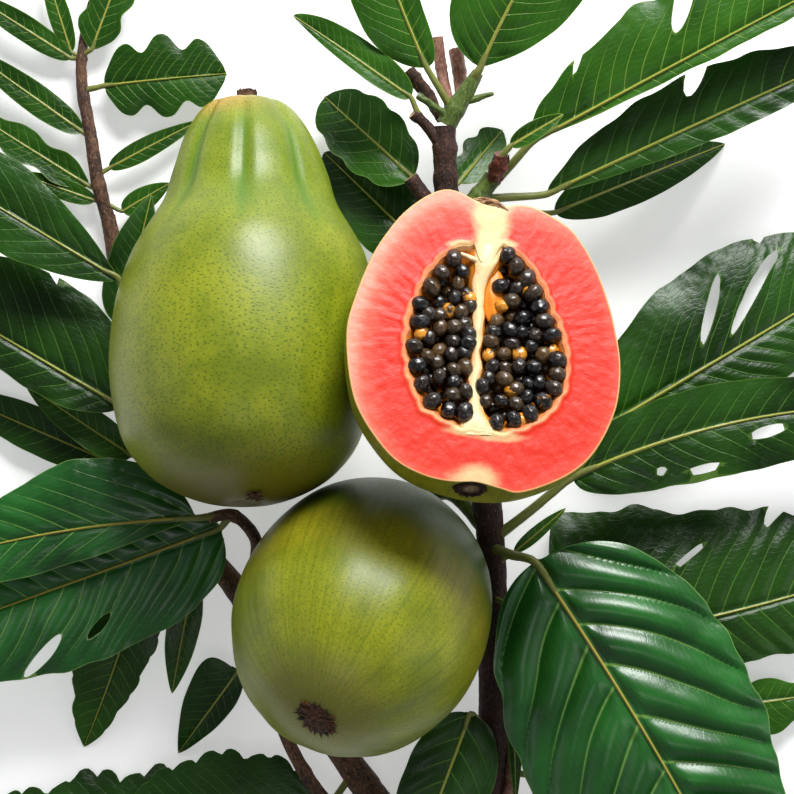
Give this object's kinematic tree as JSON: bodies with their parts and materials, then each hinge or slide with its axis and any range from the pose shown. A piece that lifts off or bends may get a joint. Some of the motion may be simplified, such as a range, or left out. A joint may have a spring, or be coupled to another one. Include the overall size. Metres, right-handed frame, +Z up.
{
  "type": "papaya branch with fruit",
  "caption": "Cut papaya branch that lies on the floor: pear-shaped green fruits, a halved fruit with coral flesh and black seeds, and broad glossy leaves on woody stems.",
  "frame": {"origin": "centre of the branch's outline seen from above, on the floor that it lies on", "axes": "+Z up from the floor; +Y from the main stem's cut end towards the crown leaves; +X to the side where the halved fruit is"},
  "size_m": [0.4586, 0.4694, 0.1375],
  "materials": {
    "fruit_skin": "satin",
    "fruit_flesh": "moist satin",
    "seeds": "wet gloss",
    "scar": "dry matt",
    "bark_dark": "matt",
    "bark_brown": "matt",
    "green_shoot": "satin",
    "pink_twig": "matt",
    "bud": "satin",
    "leaf_dark": "waxy gloss",
    "leaf_green": "waxy gloss"
  },
  "bodies": {
    "root": {"whole_fruit": "fruit_skin", "whole_fruit_stub": "scar", "whole_fruit_scar": "scar", "lower_fruit": "fruit_skin", "lower_fruit_scar": "scar", "half_fruit": "fruit_flesh", "half_fruit_scar": "scar", "seeds_left": "seeds", "seeds_right": "seeds", "main_stem": "bark_dark", "left_bough": "bark_brown", "left_shoot": "bark_brown", "right_shoot": "bark_brown", "upper_right_shoot": "green_shoot", "crown_shoot": "green_shoot", "half_fruit_stalk": "bark_brown", "lower_fruit_stalk": "green_shoot", "cut_twig_left": "pink_twig", "cut_twig_right": "pink_twig", "dead_stub": "bark_brown", "leaf_bud": "bud", "crown_leaf_left": "leaf_green", "crown_leaf_middle": "leaf_green", "crown_leaf_right": "leaf_green", "upper_left_leaf": "leaf_green", "left_back_leaf": "leaf_dark", "upper_back_leaf": "leaf_green", "rolled_leaf": "leaf_green", "upper_right_leaf": "leaf_green", "right_leaf": "leaf_dark", "right_back_leaf": "leaf_dark", "middle_right_leaf": "leaf_dark", "lower_right_leaf": "leaf_dark", "big_front_leaf": "leaf_dark", "right_behind_leaf": "leaf_dark", "small_side_leaf": "leaf_green", "lower_edge_leaf": "leaf_green", "lowest_right_leaf": "leaf_dark", "bottom_leaf": "leaf_dark", "narrow_leaf": "leaf_dark", "bottom_left_leaf": "leaf_dark", "bottom_far_leaf": "leaf_dark", "hanging_leaf": "leaf_green", "hanging_lobe": "leaf_green", "low_narrow_leaf": "leaf_dark", "left_front_leaf": "leaf_dark", "left_holed_leaf": "leaf_dark", "left_side_leaf": "leaf_dark", "left_under_leaf": "leaf_green", "left_upper_leaf": "leaf_dark", "left_low_leaf": "leaf_dark", "behind_fruit_leaf": "leaf_dark", "far_left_spray": "leaf_green"}
  },
  "joints": []
}
